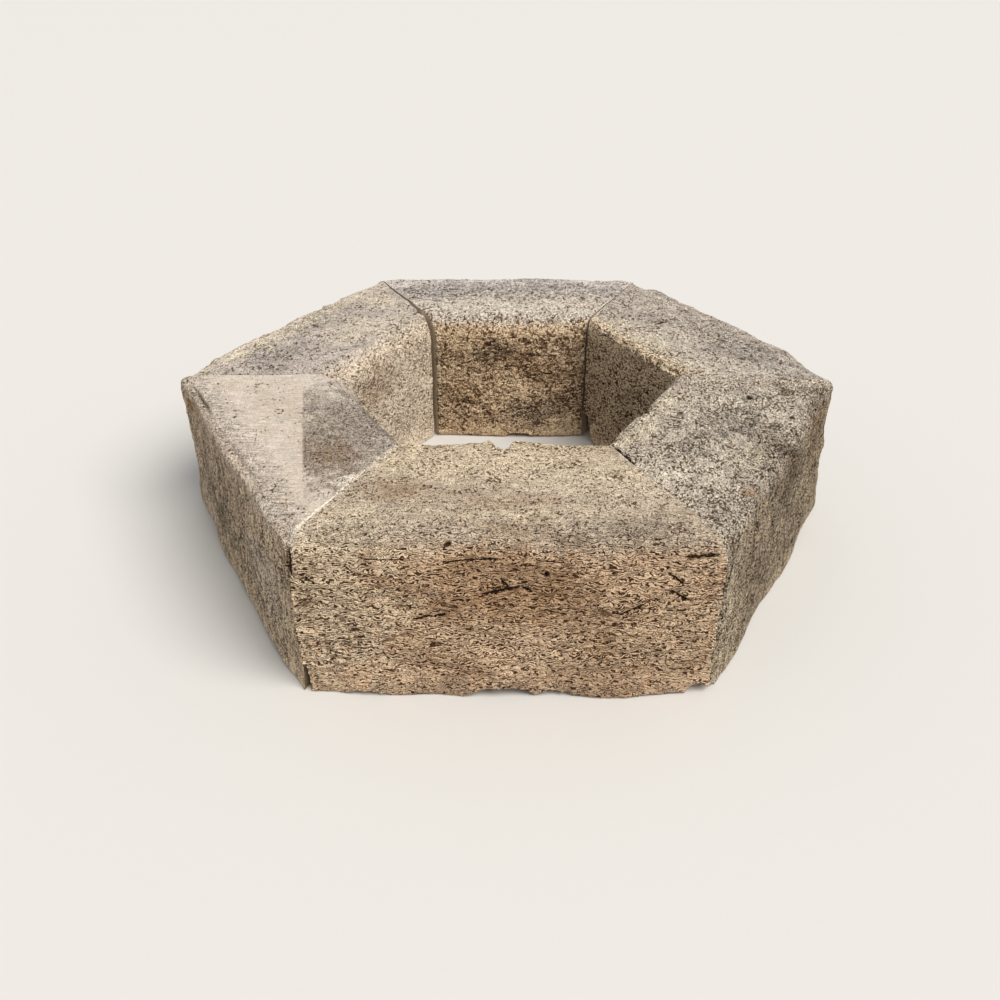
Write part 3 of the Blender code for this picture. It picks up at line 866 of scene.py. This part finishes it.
# One dictionary for each block. A place is (share of the length, share of the wall from the hole
# outwards, height). A bow is its amount and the share of the length where it peaks. The radii of
# the arrises start at the outer bottom one and go over the top. Values in threes are for the outer
# face, the top and the hole's face. Each end's wear is the loss along its arris, that of a spall,
# and the width and share of its fresh break.
frontBlock = {
    "name": "frontBlock", "node": "front_block", "slot": "limestone_tan",
    "joints": ("frontLeft", "frontRight"), "rise": 0.002, "arrises": (0.008, 0.050, 0.008, 0.012),
    "outerBow": (0.016, 0.74), "innerBow": (0.010, 0.62),
    "seed": 25, "cells": (0.0028, 0.0029, 0.0046), "step": 0.0029,
    "chips": [  # along, across, height, radii
        (0.505, 1.03, -0.012, (0.085, 0.045, 0.036)),
        (0.615, 1.03, -0.006, (0.034, 0.030, 0.020)),
        (0.150, 1.03, -0.008, (0.060, 0.024, 0.020)),
        (0.985, 1.02, 0.000, (0.042, 0.034, 0.026)),
        (0.363, 1.00, 0.376, (0.0080, 0.016, 0.0050)),
        (0.589, 1.03, 0.317, (0.0060, 0.014, 0.0058)),
        (0.490, -0.02, 0.391, (0.025, 0.034, 0.030)),
        (0.745, -0.02, 0.395, (0.012, 0.018, 0.018)),
        (0.330, -0.03, 0.398, (0.060, 0.016, 0.012)),
        (0.000, 1.01, 0.020, (0.022, 0.030, 0.060)),
    ],
    "lumps": (0.0050, 0.0024, 0.0044), "crumble": (0.0022, 0.0009, 0.0030),
    "ledges": (0.0026, 0.0006, 0.0026), "creases": (0.0024, 0.0010, 0.0022), "pits": (0.6, 0.4, 0.8),
    "rough": (1.6, 1.25, 1.0), "pores": (0.22, 1.18, 0.9), "lines": (1.06, 0.45, 0.8),
    "streaks": (0.0, 0.15, 0.0), "plate": 0.0066, "grain": 0.0026, "poreSize": 0.0060,
    "topReach": (0.62, 0.97),
    "endWear": ((0.0006, 0.002, 0.008, 0.9), (0.0006, 0.001, 0.003, 0.5)), "sawn": (0.6, 0.6),
    "grooves": [  # start and end as (along, across, height), half width, depth
        ((0.270, 1.01, 0.197), (0.366, 1.01, 0.216), 0.0026, 0.0040),
        ((0.435, 1.01, 0.265), (0.540, 1.01, 0.286), 0.0030, 0.0050),
        ((0.482, 1.01, 0.305), (0.506, 1.01, 0.280), 0.0028, 0.0045),
        ((0.530, 1.01, 0.286), (0.560, 1.01, 0.272), 0.0022, 0.0035),
        ((0.366, 1.01, 0.251), (0.402, 1.01, 0.258), 0.0018, 0.0020),
        ((0.750, 1.01, 0.226), (0.840, 1.01, 0.264), 0.0020, 0.0030),
        ((0.865, 1.01, 0.289), (0.920, 1.01, 0.256), 0.0027, 0.0040),
        ((0.861, 1.01, 0.332), (0.907, 1.01, 0.295), 0.0022, 0.0035),
        ((0.340, 1.00, 0.345), (0.495, 1.00, 0.352), 0.0017, 0.0035),
        ((0.900, 0.99, 0.362), (0.990, 0.99, 0.360), 0.0031, 0.0060),
        ((0.165, 1.00, 0.353), (0.285, 1.00, 0.354), 0.0013, 0.0020),
        ((0.128, 1.01, 0.338), (0.150, 1.01, 0.318), 0.0013, 0.0020),
        ((0.560, 1.00, 0.351), (0.640, 1.00, 0.346), 0.0011, 0.0015),
        ((0.595, 1.01, 0.226), (0.640, 1.01, 0.222), 0.0012, 0.0015),
        ((0.790, 1.01, 0.247), (0.850, 1.01, 0.236), 0.0011, 0.0015),
        ((0.028, 1.01, 0.303), (0.062, 1.01, 0.288), 0.0022, 0.0030),
        ((0.003, 1.00, 0.372), (0.006, 1.01, 0.300), 0.0024, 0.0040),
    ],
    "marks": [
        patch("rust", (0.50, 1.0, 0.29), (0.26, 0.2, 0.13), 0.50, ragged=0.5),
        patch("rust", (0.88, 1.0, 0.16), (0.16, 0.2, 0.16), 0.12, ragged=0.5),
        patch("rust", (0.16, 0.53, 0.389), (0.10, 0.06, 0.05), 0.40, ragged=0.5),
        patch("rust", (0.53, 0.64, 0.389), (0.13, 0.045, 0.05), 0.35, ragged=0.5),
        patch("rust", (0.48, 0.89, 0.389), (0.05, 0.03, 0.05), 0.40, ragged=0.5),
        patch("pale", (0.90, 1.0, 0.13), (0.13, 0.2, 0.13), 0.22),
        patch("pale", (0.996, 1.0, 0.17), (0.009, 0.2, 0.17), 0.55, grain=0.015),
        patch("pale", (0.004, 1.0, 0.24), (0.009, 0.2, 0.14), 0.50, grain=0.015),
        patch("pale", (0.09, 1.0, 0.24), (0.17, 0.2, 0.24), 0.65),
        patch("pale", (0.50, 0.13, 0.39), (0.52, 0.16, 0.05), 0.75),
        patch("pale", (0.52, 0.76, 0.39), (0.20, 0.030, 0.05), 0.35),
        patch("grime", (0.86, 1.0, 0.17), (0.15, 0.2, 0.15), 0.06),
        patch("grime", (0.60, 0.97, 0.385), (0.40, 0.05, 0.05), 0.06, ragged=1.2, grain=0.02),
        # painted shade: a darker band along the foot of the front face, where it meets the floor
        patch("grime", (0.50, 1.0, 0.000), (0.60, 0.2, 0.055), 0.32, ragged=0.8),
        patch("lichen", (0.79, 0.92, 0.385), (0.17, 0.06, 0.05), 0.42, ragged=1.1, grain=0.02),
        patch("lichen", (0.12, 0.93, 0.385), (0.08, 0.05, 0.05), 0.45, ragged=1.1, grain=0.02),
        patch("lichen", (0.93, 1.00, 0.34), (0.08, 0.10, 0.03), 0.40, ragged=1.1, grain=0.02),
    ],
    "stone": {**commonStone, "film": 0.20, "paleColour": "#f1dfc2"},
}

rightFrontBlock = {
    "name": "rightFrontBlock", "node": "right_front_block", "slot": "limestone_pitted_grey",
    "joints": ("frontRight", "right"), "rise": 0.001, "arrises": (0.010, 0.040, 0.018, 0.014),
    "outerBow": (0.010, 0.45), "innerBow": (0.009, 0.20),
    "seed": 26, "cells": (0.0032, 0.0031, 0.0048), "step": 0.0031,
    "chips": [
        (0.030, 1.04, 0.210, (0.018, 0.022, 0.120)),
        (0.910, 1.06, 0.130, (0.060, 0.026, 0.045)),
        (0.440, -0.04, 0.394, (0.046, 0.036, 0.030)),
        (0.780, -0.03, 0.400, (0.040, 0.022, 0.024)),
        (0.800, 1.05, -0.006, (0.070, 0.034, 0.026)),
        (0.793, 0.56, 0.394, (0.012, 0.009, 0.016)),
        (0.545, 0.23, 0.394, (0.010, 0.008, 0.015)),
        (0.700, 0.90, 0.394, (0.012, 0.010, 0.016)),
        (0.140, -0.03, 0.398, (0.030, 0.020, 0.018)),
        (0.290, -0.03, 0.398, (0.024, 0.018, 0.018)),
        (0.620, -0.03, 0.398, (0.026, 0.020, 0.018)),
        (0.000, 1.02, 0.000, (0.034, 0.030, 0.024)),
    ],
    "lumps": (0.0050, 0.0032, 0.0044), "crumble": (0.0026, 0.0015, 0.0030),
    "ledges": (0.0016, 0.0010, 0.0022), "creases": (0.0018, 0.0016, 0.0020), "pits": (0.8, 0.7, 0.8),
    "rough": (4.1, 1.60, 1.1), "pores": (1.55, 1.66, 1.0), "lines": (0.7, 0.40, 0.8),
    "streaks": (2.8, 0.1, 0.0), "plate": 0.0080, "grain": 0.0030, "poreSize": 0.0060,
    "topReach": (0.30, 0.70),
    "endWear": ((0.0008, 0.003, 0.004, 0.7), (0.0003, 0.0005, 0.001, 0.1)), "sawn": (0.5, 0.6),
    "grooves": [((0.004, -0.02, 0.392), (0.006, 0.26, 0.392), 0.0018, 0.0048)],
    "marks": [
        patch("rust", (0.232, 0.93, 0.389), (0.040, 0.026, 0.05), 0.7, ragged=0.5),
        patch("rust", (0.50, 1.0, 0.33), (0.10, 0.2, 0.08), 0.35, ragged=0.5),
        patch("rust", (0.84, 1.0, 0.30), (0.12, 0.2, 0.13), 0.50),
        patch("lichen", (0.62, 0.63, 0.389), (0.12, 0.07, 0.05), 0.75),
        patch("lichen", (0.42, 0.46, 0.389), (0.17, 0.08, 0.05), 0.70),
        patch("lichen", (0.79, 0.58, 0.389), (0.08, 0.06, 0.05), 0.75),
        patch("pale", (0.05, 1.0, 0.20), (0.10, 0.2, 0.20), 0.50),
        patch("pale", (0.37, 0.80, 0.389), (0.12, 0.05, 0.05), 0.50),
        patch("pale", (0.62, 0.06, 0.389), (0.10, 0.05, 0.05), 0.55),
        patch("pale", (0.22, 0.08, 0.389), (0.12, 0.05, 0.05), 0.60),
        patch("grime", (0.86, 1.0, 0.32), (0.10, 0.2, 0.10), 0.35),
        patch("grime", (0.52, 1.0, 0.29), (0.16, 0.2, 0.13), 0.45),
    ],
    "stone": {**commonStone, "outer": ("#a2927e", "#d2c0a4"), "inner": ("#85725b", "#a8957b"),
              "top": ("#c2b5a7", "#f7ecda"), "film": 0.28},
}

rightBackBlock = {
    "name": "rightBackBlock", "node": "right_back_block", "slot": "limestone_shaded_grey",
    "joints": ("right", "backRight"), "rise": 0.002, "arrises": (0.012, 0.014, 0.012, 0.014),
    "outerBow": (0.023, 0.32), "innerBow": (0.000, 0.50),
    "seed": 21, "cells": (0.0056, 0.0035, 0.0035), "step": 0.0035,
    "chips": [
        (0.965, 1.02, 0.402, (0.080, 0.056, 0.036)),
        (0.620, 1.05, 0.398, (0.055, 0.024, 0.020)),
        (0.110, 1.05, 0.398, (0.050, 0.028, 0.022)),
        (0.657, 0.54, 0.392, (0.010, 0.016, 0.014)),
        (1.000, -0.02, 0.020, (0.036, 0.036, 0.090)),
        (0.480, 1.05, -0.004, (0.070, 0.030, 0.030)),
    ],
    "lumps": (0.0052, 0.0034, 0.0064), "crumble": (0.0030, 0.0018, 0.0050),
    "ledges": (0.0016, 0.0008, 0.0026), "creases": (0.0018, 0.0014, 0.0028), "pits": (0.8, 0.6, 1.0),
    "rough": (1.5, 1.3, 4.1), "pores": (0.6, 1.3, 1.30), "lines": (0.35, 0.35, 0.6),
    "streaks": (0.6, 0.1, 0.0), "plate": 0.0110, "grain": 0.0038, "poreSize": 0.0080,
    "topReach": (0.72, 0.95),
    "endWear": ((0.0003, 0.0005, 0.001, 0.1), (0.0006, 0.001, 0.002, 0.2)), "sawn": (0.6, 0.6),
    "grooves": [],
    "marks": [
        patch("lichen", (0.38, 0.80, 0.389), (0.30, 0.09, 0.05), 0.55, ragged=0.5),
        patch("lichen", (0.70, 0.62, 0.389), (0.12, 0.06, 0.05), 0.4, ragged=0.5),
        patch("pale", (0.45, 0.15, 0.385), (0.50, 0.09, 0.05), 0.45, ragged=0.8),
    ],
    "stone": {**commonStone, "outer": ("#86796a", "#b0a18c"), "inner": ("#ecd0ae", "#ffe6c4"),
              "top": ("#aea69e", "#dfd4c7")},
}

backBlock = {
    "name": "backBlock", "node": "back_block", "slot": "limestone_gold",
    "joints": ("backRight", "backLeft"), "rise": 0.004, "arrises": (0.012, 0.014, 0.058, 0.012),
    "outerBow": (0.007, 0.40), "innerBow": (0.000, 0.50),
    "seed": 22, "cells": (0.0056, 0.0035, 0.0034), "step": 0.0034,
    "chips": [
        (0.000, 1.02, 0.402, (0.044, 0.044, 0.032)),
        (0.420, -0.02, -0.006, (0.070, 0.022, 0.020)),
        (0.630, 1.04, 0.404, (0.110, 0.024, 0.018)),
        (0.250, 1.04, 0.000, (0.060, 0.030, 0.034)),
    ],
    "lumps": (0.0052, 0.0026, 0.0070), "crumble": (0.0030, 0.0014, 0.0066),
    "ledges": (0.0016, 0.0006, 0.0034), "creases": (0.0018, 0.0008, 0.0030), "pits": (0.8, 0.4, 1.3),
    "rough": (1.5, 1.20, 3.5), "pores": (0.6, 1.28, 1.75), "lines": (0.35, 0.35, 0.30),
    "streaks": (0.6, 0.2, 0.0), "plate": 0.0110, "grain": 0.0038, "poreSize": 0.0084,
    "topReach": (0.55, 0.92),
    "endWear": ((0.0006, 0.001, 0.002, 0.2), (0.0012, 0.002, 0.002, 0.2)), "sawn": (0.0, 1.0),
    "grooves": [],
    "marks": [
        patch("lichen", (0.50, 0.63, 0.392), (0.62, 0.11, 0.05), 0.62, ragged=0.8),
        # painted light: a pale strip at the end of the hole's face, standing in for the lit sawn end
        # beside the open joint
        patch("pale", (0.994, 0.0, 0.19), (0.008, 0.08, 0.26), 0.45, ragged=0.15, soft=0.3),
        patch("pale", (0.50, 0.30, 0.392), (0.62, 0.14, 0.06), 0.40, ragged=0.5),
        patch("rust", (0.43, 0.0, 0.26), (0.09, 0.1, 0.05), 0.45, ragged=0.5),
        patch("rust", (0.23, 0.0, 0.21), (0.08, 0.1, 0.06), 0.45, ragged=0.5),
        patch("rust", (0.88, 0.0, 0.15), (0.10, 0.1, 0.06), 0.40, ragged=0.5),
        patch("grime", (0.36, 0.0, 0.08), (0.11, 0.1, 0.06), 0.45),
        patch("grime", (0.62, 0.0, 0.28), (0.08, 0.1, 0.04), 0.35),
    ],
    # its sawn end colour is made pale as painted light, since the narrow joint keeps it in shade
    "stone": {**commonStone, "outer": ("#a39684", "#cfc3b0"), "inner": ("#d4b693", "#ffe3c0"),
              "top": ("#bab4b0", "#e5dcd7"), "sawnColour": "#f4dfc2"},
}

leftBackBlock = {
    "name": "leftBackBlock", "node": "left_back_block", "slot": "limestone_beige",
    "joints": ("backLeft", "left"), "rise": 0.002, "arrises": (0.012, 0.014, 0.062, 0.014),
    "outerBow": (0.024, 0.76), "innerBow": (0.000, 0.50),
    "seed": 23, "cells": (0.0056, 0.0035, 0.0035), "step": 0.0035,
    "chips": [
        (0.270, 1.06, 0.402, (0.060, 0.034, 0.026)),
        (0.350, 1.05, 0.398, (0.030, 0.020, 0.020)),
        (0.560, 1.06, 0.402, (0.060, 0.026, 0.022)),
        (0.930, 1.04, 0.398, (0.070, 0.044, 0.028)),
        (0.400, 1.05, -0.006, (0.090, 0.030, 0.024)),
        (0.000, 0.20, 0.400, (0.014, 0.090, 0.026)),
    ],
    "lumps": (0.0052, 0.0030, 0.0048), "crumble": (0.0030, 0.0016, 0.0026),
    "ledges": (0.0016, 0.0006, 0.0018), "creases": (0.0018, 0.0010, 0.0020), "pits": (0.8, 0.6, 0.9),
    "rough": (1.5, 1.12, 2.6), "pores": (0.6, 1.1, 1.00), "lines": (0.35, 0.35, 0.45),
    "streaks": (0.6, 0.2, 0.0), "plate": 0.0110, "grain": 0.0033, "poreSize": 0.0080,
    "topReach": (0.62, 0.97),
    "endWear": ((0.0010, 0.002, 0.002, 0.2), (0.0003, 0.0005, 0.001, 0.1)), "sawn": (0.6, 0.6),
    "grooves": [],
    "marks": [
        patch("lichen", (0.42, 0.86, 0.389), (0.20, 0.07, 0.05), 0.50, ragged=0.8),
        patch("lichen", (0.74, 0.72, 0.389), (0.12, 0.10, 0.05), 0.50, ragged=0.8),
        patch("pale", (0.50, 0.96, 0.389), (0.55, 0.08, 0.05), 0.55, ragged=0.8),
        patch("pale", (0.30, 0.25, 0.389), (0.20, 0.16, 0.05), 0.35),
        patch("pale", (0.12, 0.68, 0.389), (0.08, 0.08, 0.05), 0.40, ragged=0.8),
        patch("pale", (0.49, 0.38, 0.389), (0.10, 0.06, 0.05), 0.40, ragged=0.8),
        patch("rust", (0.62, 0.02, 0.30), (0.10, 0.1, 0.09), 0.35, ragged=0.5),
    ],
    "stone": {**commonStone, "outer": ("#a39684", "#cfc3b0"), "inner": ("#e8d5c0", "#fff0da"),
              "top": ("#b2a8a0", "#d8cdc6")},
}

# the straight edge of a darker grey patch on the left front block's top
stainEdge = ((0.321, 0.365, 0.389), (0.939, 0.801, 0.389))

leftFrontBlock = {
    "name": "leftFrontBlock", "node": "left_front_block", "slot": "limestone_cream",
    "joints": ("left", "frontLeft"), "rise": 0.002, "arrises": (0.010, 0.020, 0.024, 0.014),
    "outerBow": (0.012, 0.60), "innerBow": (0.003, 0.50),
    "seed": 24, "cells": (0.0032, 0.0031, 0.0048), "step": 0.0031,
    "chips": [
        (1.010, 1.05, 0.340, (0.032, 0.040, 0.300)),
        (0.560, 1.03, 0.400, (0.100, 0.026, 0.020)),
        (0.130, 1.03, -0.008, (0.110, 0.026, 0.022)),
        (0.810, 1.04, -0.006, (0.070, 0.024, 0.022)),
    ],
    "lumps": (0.0050, 0.0010, 0.0044), "crumble": (0.0024, 0.0004, 0.0028),
    "ledges": (0.0012, 0.0001, 0.0018), "creases": (0.0014, 0.0003, 0.0016), "pits": (0.6, 0.10, 0.7),
    "rough": (3.1, 0.45, 1.0), "pores": (0.9, 0.45, 0.8), "lines": (0.5, 0.10, 0.8),
    "streaks": (2.2, 0.40, 0.0), "plate": 0.0080, "grain": 0.0036, "poreSize": 0.0080,
    "topReach": (0.40, 0.80),
    "endWear": ((0.0003, 0.0005, 0.001, 0.1), (0.0010, 0.004, 0.009, 1.0)), "sawn": (0.6, 1.0),
    "grooves": [((0.930, 0.99, 0.330), (0.998, 0.99, 0.318), 0.0019, 0.0040)],
    "marks": [
        patch("grime", (0.42, 1.0, 0.15), (0.17, 0.2, 0.10), 0.45),
        patch("grime", (0.64, 0.20, 0.389), (0.27, 0.22, 0.10), 0.48, ragged=0.6, soft=0.7, cut=stainEdge),
        patch("grime", (0.78, 0.42, 0.389), (0.24, 0.16, 0.10), 0.50, ragged=0.8, soft=0.8, cut=stainEdge),
        patch("grime", (0.80, 0.48, 0.389), (0.16, 0.11, 0.10), 0.50,
              ragged=1.3, soft=0.9, grain=0.022, cut=stainEdge),
        patch("pale", (0.80, 1.0, 0.21), (0.15, 0.2, 0.12), 0.40),
        patch("pale", (0.12, 1.0, 0.08), (0.12, 0.2, 0.08), 0.25),
        patch("pale", (0.968, 0.49, 0.389), (0.019, 0.048, 0.05), 0.75, soft=0.3),
        patch("rust", (0.78, 0.44, 0.389), (0.10, 0.07, 0.06), 0.6),
        patch("rust", (0.08, 1.0, 0.335), (0.06, 0.06, 0.03), 0.8, ragged=0.5),
    ],
    "stone": {**commonStone, "outer": ("#c5ae97", "#ffe8c6"), "inner": ("#8a765c", "#b09a7c"),
              "paleColour": "#f3eadc", "grimeColour": "#776d61", "top": ("#beb0a0", "#d2c7be")},
}

blocks = (frontBlock, rightFrontBlock, rightBackBlock, backBlock, leftBackBlock, leftFrontBlock)

camera = {
    "at": (0.005, -2.324, 1.493), "pitch": 26.6, "yaw": 0.63,
    "focalPixels": 989.0, "imagePixels": 1000.0, "axisRow": 398.0,  # the axis lies above the middle row
}

studio = {
    "floorColour": "#d2d1cf", "floorSize": 60.0, "worldColour": "#ffffff", "worldStrength": 0.50,
    "keyFrom": (0.48, -0.38, 0.80), "keySpread": 40.0, "keyStrength": 3.36, "keyColour": "#fffaf2",
}


def setStudio():
    # a wide floor, an even pale room and one soft box
    half = studio["floorSize"] / 2
    mesh = bpy.data.meshes.new("floor")
    mesh.from_pydata([(-half, -half, 0), (half, -half, 0), (half, half, 0), (-half, half, 0)], [],
                     [(0, 1, 2, 3)])
    floor = bpy.data.objects.new("floor", mesh)
    bpy.context.scene.collection.objects.link(floor)
    # matt painted board: even and pale, with no gloss to mirror the stones
    board = bpy.data.materials.new("mattPaintedBoard")
    board.use_nodes = True
    paint = board.node_tree.nodes["Principled BSDF"]
    paint.inputs["Base Color"].default_value = hexToLinear(studio["floorColour"])
    paint.inputs["Roughness"].default_value = 0.9
    mesh.materials.append(board)
    world = bpy.data.worlds.new("softRoom")
    world.use_nodes = True
    background = world.node_tree.nodes["Background"]
    background.inputs["Color"].default_value = hexToLinear(studio["worldColour"])
    background.inputs["Strength"].default_value = studio["worldStrength"]
    bpy.context.scene.world = world
    # a great soft box far overhead: parallel light that comes from a wide cone
    light = bpy.data.lights.new("softBox", "SUN")
    light.angle = math.radians(studio["keySpread"])
    light.energy = studio["keyStrength"]
    light.color = hexToLinear(studio["keyColour"])[:3]
    lamp = bpy.data.objects.new("softBox", light)
    lamp.rotation_euler = Vector(studio["keyFrom"]).to_track_quat("Z", "Y").to_euler()
    bpy.context.scene.collection.objects.link(lamp)
    bpy.context.scene.view_settings.view_transform = "Standard"


def setCamera():
    # lens from its focal length in pixels, and a shift that moves the middle row to the axis
    lens = bpy.data.cameras.new("mainCamera")
    lens.sensor_width = 36.0
    lens.lens = 36.0 * camera["focalPixels"] / camera["imagePixels"]
    lens.shift_y = (camera["axisRow"] - camera["imagePixels"] / 2) / camera["imagePixels"]
    lens.clip_end = 200.0
    eye = bpy.data.objects.new("mainCamera", lens)
    eye.location = camera["at"]
    eye.rotation_euler = (math.radians(90 - camera["pitch"]), 0.0, math.radians(camera["yaw"]))
    bpy.context.scene.collection.objects.link(eye)
    bpy.context.scene.camera = eye


setCamera()
for block in blocks:
    makeBlock(block)
setStudio()
print("studio and camera set")
